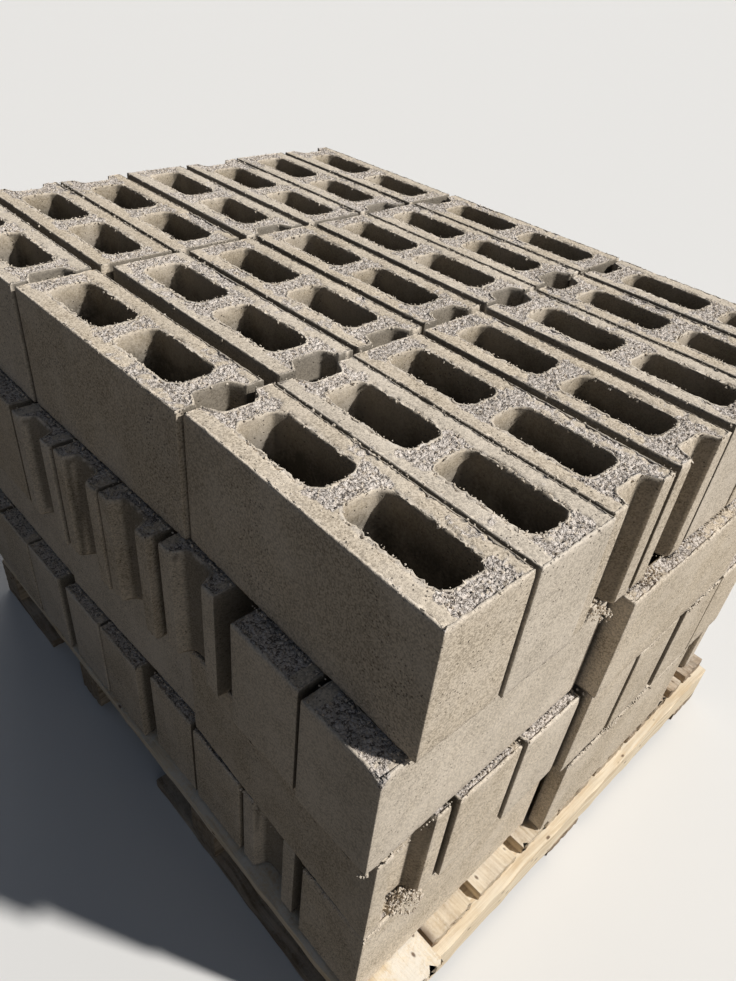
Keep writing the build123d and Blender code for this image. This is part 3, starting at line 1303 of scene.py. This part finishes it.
class CrumbTree:
    """The geometry tree that strews crumbs on points."""

    def __init__(self) -> None:
        """Builds the tree."""
        wiring, given, leave = new_group(
            "strew_crumbs",
            "GeometryNodeTree",
            [("Geometry", GEOMETRY, None), ("Crumb", OBJECT, None), ("Concrete", MATERIAL, None)],
            [("Geometry", GEOMETRY)],
        )
        self.tree = wiring.tree
        spin = self._random(wiring, 5, (0.0, 0.0, 0.0), (6.28, 6.28, 6.28))
        stretch = self._random(wiring, 8, (0.7, 0.7, 0.55), (1.25, 1.1, 1.0))
        scale = wiring.scaled(stretch, wiring.stored("size"))
        laid = wiring.laid(given["Geometry"], given["Crumb"], {"Rotation": spin, "Scale": scale})
        inputs = {
            "Geometry": wiring.flow("GeometryNodeRealizeInstances", {0: laid}),
            "Material": given["Concrete"],
        }
        wiring.feed(leave, {"Geometry": wiring.flow("GeometryNodeSetMaterial", inputs)})

    @staticmethod
    def _random(wiring: Wiring, seed: int, low: Place, high: Place) -> Flow:
        """A random vector a point, between two vectors."""
        inputs = {"Seed": seed, 0: low, 1: high}
        return wiring.flow("FunctionNodeRandomValue", inputs, data_type="FLOAT_VECTOR")


def crumb_template(seed: int) -> bpy.types.Object:
    """Makes a small angular crumb of about unit radius, with ten faces.

    Args:
        seed: seed of its shape.

    Returns:
        An object that the crumb tree sets in place.
    """
    rng = np.random.default_rng(seed)
    points = []
    for k in range(5):
        angle = 2 * math.pi * k / 5
        far = float(rng.uniform(0.75, 1.0))
        points.append((far * math.cos(angle), far * math.sin(angle), float(rng.uniform(-0.3, 0.3))))
    points += [(0.1, 0.0, 0.8), (0.0, -0.1, -0.75)]
    faces = []
    for k in range(5):
        on = (k + 1) % 5
        faces += [(k, on, 5), (on, k, 6)]
    mesh = bpy.data.meshes.new(f"crumb_{seed}")
    mesh.from_pydata(points, [], faces)
    mark_points(mesh, {"web": [0.0] * 7, "wall": [0.0] * 7, "rim": [0.55] * 7})
    return add_object(mesh.name, mesh)


@dataclass(frozen=True)
class Heap:
    """A small pile of crumbs."""

    place: Place
    radius: float
    rise: float
    count: int


@dataclass
class Rubble:
    """Crumbs that lie on the blocks or stick to their edges."""

    block: HollowBlock
    tree: CrumbTree
    crumb: bpy.types.Object
    concrete: bpy.types.Material
    box: list
    rim_sizes: Span = (0.0009, 0.0032)
    foot_sizes: Span = (0.0010, 0.0032)
    heap_sizes: Span = (0.0013, 0.0038)
    side_margin: float = 0.085
    widest: float = 1.3
    least_share: float = 0.11

    def covered(self, points: np.ndarray, stands: list[Stand], margin: float) -> np.ndarray:
        """Which plan points lie within the outer size of one of the blocks.

        Args:
            points: rows of x and y.
            stands: where the blocks stand.
            margin: how far past its size a block still covers.

        Returns:
            True for each point that does.
        """
        half = self.block.half() + margin
        hit = np.zeros(len(points), dtype=bool)
        for stand in stands:
            hit |= (np.abs(stand.to_local(points)) < half).all(axis=1)
        return hit

    def _lay(self, name: str, parts: list[tuple], rng: np.random.Generator) -> None:
        """Makes one piece of crumbs, leaving out those that would reach past the solids' box.

        Args:
            name: the piece's name.
            parts: (plan points, heights, radii) of each part.
            rng: the random draws of the piece.
        """
        low, high = np.array(self.box[0]), np.array(self.box[1])
        places = np.vstack([np.column_stack([plan, z]) for plan, z, _ in parts])
        sizes = np.concatenate([radius for _, _, radius in parts])
        reach = sizes[:, None] * self.widest
        keep = ((places - reach > low) & (places + reach < high)).all(axis=1)
        places, sizes = places[keep], sizes[keep]
        tones = rng.uniform(-0.5, 0.7, len(sizes))
        marks = {"size": sizes.tolist(), "tone": tones.tolist()}
        values = {"Crumb": self.crumb, "Concrete": self.concrete}
        piece = apply_tree(name, places.tolist(), marks, self.tree.tree, values)
        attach(piece, "root")
        log.info("%s: %d crumbs, %d triangles", name, len(sizes), triangle_count(piece.data))

    @staticmethod
    def _radii(rng: np.random.Generator, count: int, size: Span) -> np.ndarray:
        """Radii between two sizes, most of them small."""
        return size[0] + (size[1] - size[0]) * rng.uniform(0, 1, count) ** 2.0

    def along_rims(self, name: str, stands: list[Stand], tries: int, seed: int) -> None:
        """Crumbs along the tops of the cores and along the upper edges.

        Args:
            name: the piece's name.
            stands: the blocks that carry the crumbs.
            tries: how many places are tried on each loop.
            seed: seed of the random draws.
        """
        rng = np.random.default_rng(seed)
        parts = []
        loops = [(core, 1.0) for core in self.block.core_loops()] + [(self.block.outline(), -1.0)]
        for number, stand in enumerate(stands):
            others = stands[:number] + stands[number + 1 :]
            for loop, side in loops:
                pick = rng.integers(0, len(loop), tries)
                radius = self._radii(rng, tries, self.rim_sizes)
                back = rng.uniform(-0.0014 if side > 0 else -0.0035, 0.0050, tries)
                world = stand.to_world(loop[pick] + outward(loop)[pick] * back[:, None] * side)
                z = stand.z + self.block.height - radius * rng.uniform(1.3, 2.2, tries)
                keep = (back > 0) | (side > 0) | self.covered(world, others, 0.004)
                parts.append((world[keep], z[keep], radius[keep]))
        self._lay(name, parts, rng)

    def on_tops(
        self, name: str, stands: list[Stand], above: list[Stand], tries: int, size: Span, seed: int
    ) -> None:
        """Crumbs on webs, or on the ledges that the next course leaves open.

        Args:
            name: the piece's name.
            stands: the blocks that carry the crumbs.
            above: the blocks of the next course; none for the top course.
            tries: how many places are tried on each block.
            size: smallest and largest radius.
            seed: seed of the random draws.
        """
        rng = np.random.default_rng(seed)
        outline, cores = self.block.outline(), self.block.core_loops()
        parts = []
        for stand in stands:
            local = rng.uniform(-0.5, 0.5, (tries, 2)) * np.array([self.block.width, self.block.length])
            lot = rng.uniform(0, 1, tries)
            radius = self._radii(rng, tries, size)
            sink = rng.uniform(1.3, 1.9, tries)
            keep = inside(local, outline, cores)
            world = stand.to_world(local)
            if above:
                keep &= ~self.covered(world, above, 0.001)
            else:
                share = np.array([self.block.web_share(x, y) for x, y in local])
                keep &= lot < np.maximum(share * share, self.least_share)
            z = stand.z + self.block.height - radius * (sink - 0.7 if above else sink)
            parts.append((world[keep], z[keep], radius[keep]))
        self._lay(name, parts, rng)

    def along_feet(self, name: str, stands: list[Stand], below: list[Stand], tries: int, seed: int) -> None:
        """Crumbs squeezed out of the bed joints, where a block carries the edge above.

        Args:
            name: the piece's name.
            stands: the blocks whose feet are followed.
            below: the blocks of the course below.
            tries: how many places are tried on each block.
            seed: seed of the random draws.
        """
        rng = np.random.default_rng(seed)
        loop = self.block.outline()
        low, high = (np.array(corner[:2]) for corner in self.box)
        parts = []
        for stand in stands:
            pick = rng.integers(0, len(loop), tries)
            radius = self._radii(rng, tries, self.foot_sizes)
            world = stand.to_world(loop[pick] + outward(loop)[pick] * (radius * 0.6)[:, None])
            z = stand.z + radius * rng.uniform(-0.3, 0.6, tries)
            outer = ((world < low + self.side_margin) | (world > high - self.side_margin)).any(axis=1)
            keep = self.covered(world, below, 0.003) & outer
            parts.append((world[keep], z[keep], radius[keep]))
        self._lay(name, parts, rng)

    def heaps(self, name: str, piles: tuple[Heap, ...], seed: int) -> None:
        """Small piles of fallen crumbs.

        Args:
            name: the piece's name.
            piles: the piles.
            seed: seed of the random draws.
        """
        rng = np.random.default_rng(seed)
        parts = []
        for pile in piles:
            away = pile.radius * np.sqrt(rng.uniform(0, 1, pile.count))
            angle = rng.uniform(0, 2 * math.pi, pile.count)
            radius = self._radii(rng, pile.count, self.heap_sizes)
            lift = (1 - away / pile.radius) * pile.rise * rng.uniform(0.2, 1.0, pile.count) + radius * 0.6
            x, y, z = pile.place
            plan = np.column_stack([x + away * np.cos(angle), y + 0.6 * away * np.sin(angle)])
            parts.append((plan, z + lift, radius))
        self._lay(name, parts, rng)


@dataclass
class Plank:
    """One board or beam, cut from its solid's box."""

    box: Solid
    way: Way
    age: float
    dusty: float
    ragged: float
    seed: int
    step_long: float = 0.012
    step_across: float = 0.007
    edge_wear: float = 0.0016
    dent: float = 0.0010
    side_dust: float = 0.35

    @staticmethod
    def _lines(length: float, step: float, edges: tuple[float, ...]) -> np.ndarray:
        """Positions of the mesh lines over a length, closer at the edges.

        Args:
            length: the length.
            step: spacing of the lines.
            edges: distances of further lines from either edge.

        Returns:
            The positions in order.
        """
        lines = np.linspace(0, length, max(2, round(length / step)) + 1)
        edge = [e for e in edges if e < length / 3]
        lines = np.concatenate([lines, edge, [length - e for e in edge]])
        return np.unique(np.round(lines, 6))

    def add_to(self, shape: bmesh.types.BMesh, layers: dict) -> None:
        """Adds the board's skin to a shape.

        Args:
            shape: the shape that takes the board.
            layers: the shape's plank, age, dusty and cut_end layers.
        """
        low, high = self.box.low(), self.box.high()
        size = high - low
        axis = self.way.value
        cross = 1 - axis
        rng = np.random.default_rng(self.seed)
        us = self._lines(size[axis], self.step_long, (0.0015, 0.004))
        vs = self._lines(size[cross], self.step_across, (0.0015,))
        ws = self._lines(size[2], self.step_across, (0.0015,))
        shift = rng.uniform(0, 40, 3)
        nu, nv, nw = len(us) - 1, len(vs) - 1, len(ws) - 1
        made: dict[tuple[int, int, int], bmesh.types.BMVert] = {}

        def corner(i: int, j: int, k: int) -> bmesh.types.BMVert:
            """Makes the point on three mesh lines, once.

            Args:
                i: number of the line along the board.
                j: number of the line across it.
                k: number of the line up it.

            Returns:
                The point.
            """
            if (i, j, k) in made:
                return made[i, j, k]
            u, v, w = us[i], vs[j], ws[k]
            local = [0.0, 0.0, float(w)]
            local[axis], local[cross] = float(u), float(v)
            at_end, at_side = i in (0, nu), j in (0, nv)
            if at_end:
                saw = math.sin(v * 310 + shift[0]) + math.sin(v * 745 + shift[1]) * 0.7
                bite = self.ragged * max(0.0, saw + math.sin(w * 520 + shift[2]) * 0.4) * 0.5
                local[axis] += bite if i == 0 else -bite
            if at_side and k in (0, nw):
                local[cross] += self.edge_wear if j == 0 else -self.edge_wear
                local[2] += self.edge_wear if k == 0 else -self.edge_wear
            elif at_side:
                dent = self.dent * (1 + math.sin(u * 23 + shift[0]) * math.sin(u * 71 + shift[1]))
                local[cross] += dent if j == 0 else -dent
            vert = shape.verts.new(Vector(low + np.array(local)))
            vert[layers["plank"]] = Vector((u + shift[0], v + shift[1], w + shift[2]))
            vert[layers["age"]] = self.age
            vert[layers["dusty"]] = self.dusty if k == nw else self.dusty * self.side_dust
            vert[layers["cut_end"]] = 1.0 if at_end else 0.0
            made[i, j, k] = vert
            return vert

        sheets = []
        for i in range(nu):
            for j in range(nv):
                sheets.append([(i, j, nw), (i + 1, j, nw), (i + 1, j + 1, nw), (i, j + 1, nw)])
                sheets.append([(i, j + 1, 0), (i + 1, j + 1, 0), (i + 1, j, 0), (i, j, 0)])
            for k in range(nw):
                sheets.append([(i, 0, k), (i + 1, 0, k), (i + 1, 0, k + 1), (i, 0, k + 1)])
                sheets.append([(i, nv, k + 1), (i + 1, nv, k + 1), (i + 1, nv, k), (i, nv, k)])
        for j in range(nv):
            for k in range(nw):
                sheets.append([(0, j, k + 1), (0, j + 1, k + 1), (0, j + 1, k), (0, j, k)])
                sheets.append([(nu, j, k), (nu, j + 1, k), (nu, j + 1, k + 1), (nu, j, k + 1)])
        for sheet in sheets:
            points = [corner(*key) for key in sheet]
            shape.faces.new(points[::-1] if self.way is Way.ALONG_Y else points)


@dataclass
class PalletPart:
    """The boards or beams of one pallet node."""

    node: str
    way: Way
    ages: tuple[float, ...]
    dusty: tuple[float, ...]
    ragged: tuple[float, ...]
    wood: bpy.types.Material
    seed: int

    def build(self, node: bpy.types.Object) -> bpy.types.Object:
        """Builds every board of the node as one piece.

        Args:
            node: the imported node.

        Returns:
            The dressed piece.
        """
        shape = bmesh.new()
        layers = {"plank": shape.verts.layers.float_vector.new("plank")}
        layers |= {name: shape.verts.layers.float.new(name) for name in ("age", "dusty", "cut_end")}
        for number, solid in enumerate(solids_of(node)):
            looks = (values[number % len(values)] for values in (self.ages, self.dusty, self.ragged))
            Plank(solid, self.way, *looks, self.seed + number).add_to(shape, layers)
        mesh = bpy.data.meshes.new(self.node)
        shape.to_mesh(mesh)
        shape.free()
        mesh.materials.append(self.wood)
        piece = add_object("sawn_" + self.node, mesh)
        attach(piece, "root")
        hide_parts(self.node)
        log.info("%s: %d faces", piece.name, len(mesh.polygons))
        return piece


@dataclass(frozen=True)
class Lamp:
    """A distant lamp: where its light comes from, its strength and its width in degrees."""

    source: Place
    strength: float
    width: float
    colour: Colour = (1.0, 0.975, 0.94)

    def build(self, name: str) -> None:
        """Makes the lamp.

        Args:
            name: the lamp's name.
        """
        data = bpy.data.lights.new(name, "SUN")
        data.energy = self.strength
        data.angle = math.radians(self.width)
        data.color = self.colour
        light = add_object(name, data)
        light.rotation_euler = Vector(self.source).to_track_quat("Z", "Y").to_euler()


@dataclass(frozen=True)
class Studio:
    """Floor, light and camera."""

    camera_place: Place = (-0.8191, -0.7987, 1.3132)
    camera_turn: Place = (0.9146, -0.0911, -0.7529)
    lens: float = 27.719
    key: Lamp = Lamp((0.36, -0.62, 0.695), 4.2, 3.0)
    fill: Lamp = Lamp((-0.24, -0.93, 0.25), 0.20, 70.0)
    rear: Lamp = Lamp((0.72, 0.66, 0.16), 1.2, 70.0)
    floor_size: float = 60.0
    sky: Colour = (0.047, 0.060, 0.084)
    floor_seen: Colour = (0.74, 0.735, 0.72)
    floor_bounce: Colour = (0.108, 0.093, 0.070)
    backdrop: Colour = (0.88, 0.88, 0.87)

    def build(self) -> None:
        """Sets up the camera, the floor, the lamps and the sky."""
        self._camera()
        self._floor()
        for name, lamp in (("key", self.key), ("fill", self.fill), ("rear", self.rear)):
            lamp.build(name)
        self._sky()

    def _camera(self) -> None:
        """Sets the camera at the photograph's place and angle."""
        data = bpy.data.cameras.new("camera")
        data.sensor_fit = "AUTO"
        data.sensor_width = 36.0
        data.lens = self.lens
        data.clip_start = 0.05
        made = add_object("camera", data)
        made.location = self.camera_place
        made.rotation_euler = self.camera_turn
        bpy.context.scene.camera = made

    def _floor(self) -> None:
        """Lays a plain pale floor, whose own colour only the camera sees."""
        shape = bmesh.new()
        bmesh.ops.create_grid(shape, x_segments=4, y_segments=4, size=self.floor_size)
        mesh = bpy.data.meshes.new("floor")
        shape.to_mesh(mesh)
        shape.free()
        material, wiring, shader = new_material("floor_pale", 0.9, 0.5)
        seen = wiring.flow("ShaderNodeLightPath", output="Is Camera Ray")
        wiring.feed(shader, {"Base Color": wiring.mix(seen, self.floor_bounce, self.floor_seen)})
        mesh.materials.append(material)
        add_object("floor", mesh)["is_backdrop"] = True

    def _sky(self) -> None:
        """Sets an even sky, which the camera sees as a pale backdrop."""
        world = bpy.data.worlds.new("studio")
        bpy.context.scene.world = world
        world.use_nodes = True
        wiring = Wiring(world.node_tree)
        seen = wiring.flow("ShaderNodeLightPath", output="Is Camera Ray")
        wiring.feed(world.node_tree.nodes["Background"], {"Color": wiring.mix(seen, self.sky, self.backdrop)})


def main() -> None:
    """Builds the dressed pallet of blocks in its studio."""
    logging.basicConfig(level=logging.INFO, format="%(message)s")
    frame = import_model()
    solid_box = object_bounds()
    nodes = frame["nodes"]
    carried = {o.name for o in bpy.data.objects}
    bpy.context.scene.view_settings.view_transform = "Standard"

    effects = Effects()
    concrete = ConcreteFinish(effects).material()
    wood = WoodFinish(effects).material()

    top_block = HollowBlock(
        "top_block", 0.0048, 0.0038, FineZone.WEBS, 0.0023, 0.0043,
        (0.003, 0.007, 0.013, 0.022, 0.090, 0.176, 0.184),
    )
    low_block = HollowBlock(
        "low_block", 0.0065, 0.014, FineZone.EDGES, 0.0042, 0.012,
        (0.004, 0.010, 0.020, 0.100, 0.172, 0.183),
        shell_share=0.52, core_wear=0.25, flat_end_web=0.041, groove_web=0.038,
    )
    inner_block = HollowBlock(
        "inner_block", 0.014, 0.014, FineZone.NONE, 0.012, 0.012, (0.010, 0.060, 0.130)
    )
    templates = {b.name: b.build() for b in (top_block, low_block, inner_block)}
    near_top = Chip((-0.4686, -0.5747, 0.872), 0.0035, 0.030, (1.0, 0.8, -1.0))
    near_third = Chip((-0.498, -0.5635, 0.682), 0.0065, 0.040, (0.8, 0.6, -1.0))
    chips = {"course_4_column_1": (near_top,), "course_3_left_blocks": (near_third,)}
    course_tree = CourseTree()
    names = sorted(n for n in nodes if n.startswith("course_"))
    own = {name: [top_block.stand_of(s) for s in solids_of(nodes[name])] for name in names}
    levels = {name: int(name.split("_")[1]) for name in names}
    stands = {level: [s for n in names if levels[n] == level for s in own[n]] for level in (1, 2, 3, 4)}
    for seed, name in enumerate(names):
        is_top = levels[name] == 4
        block = top_block if is_top else low_block
        BlockCourse(
            name, block, templates[block.name], templates["top_block" if is_top else "inner_block"],
            course_tree, concrete, solid_box, seed, stands[levels[name]], chips.get(name, ()),
        ).build(own[name])

    crumb = crumb_template(41)
    rubble = Rubble(top_block, CrumbTree(), crumb, concrete, solid_box)
    rubble.along_rims("crumbs_on_rims", stands[4], 75, 61)
    rubble.on_tops("crumbs_on_webs", stands[4], [], 1100, (0.0010, 0.0029), 62)
    ledges = Rubble(low_block, rubble.tree, crumb, concrete, solid_box)
    outer = {level: [s for s in stands[level] if top_block.reaches_side(s, solid_box)] for level in stands}
    for level in (1, 2, 3):
        name = f"crumbs_on_ledge_{level}"
        ledges.on_tops(name, outer[level], stands[level + 1], 420, (0.0009, 0.0024), 62 + level)
    for level in (2, 3, 4):
        name = f"crumbs_in_bed_joint_{level}"
        rubble.along_feet(name, outer[level], stands[level - 1], 340, 70 + level)
    heaps = (
        Heap((-0.407, -0.566, 0.302), 0.026, 0.016, 220),
        Heap((-0.156, -0.578, 0.682), 0.017, 0.009, 60),
        Heap((-0.046, -0.579, 0.682), 0.022, 0.008, 70),
        Heap((-0.499, -0.560, 0.492), 0.008, 0.002, 16),
    )
    rubble.heaps("fallen_crumbs", heaps, 77)
    for leftover in (*templates.values(), crumb):
        bpy.data.objects.remove(leftover)

    for part in (
        PalletPart(
            "pallet_deck_boards", Way.ALONG_Y, (0.12, 0.42, 0.38, 0.48, 0.52, 0.56, 0.64, 0.68, 0.72),
            (1.0, 0.45, 0.4, 0.4, 0.35, 0.35, 0.35, 0.35, 0.35), (0.012, 0.004, 0.003), wood, 100,
        ),
        PalletPart("pallet_stringers", Way.ALONG_X, (0.0, 0.6, 0.6, 0.5), (0.25,), (0.002,), wood, 200),
        PalletPart("pallet_bottom_boards", Way.ALONG_Y, (0.65, 0.75), (0.3,), (0.002,), wood, 300),
    ):
        part.build(nodes[part.node])

    added = [o.data for o in bpy.data.objects if o.type == "MESH" and o.name not in carried]
    log.info("triangles in all: %d", sum(triangle_count(mesh) for mesh in added))
    Studio().build()


if __name__ == "__main__":
    main()
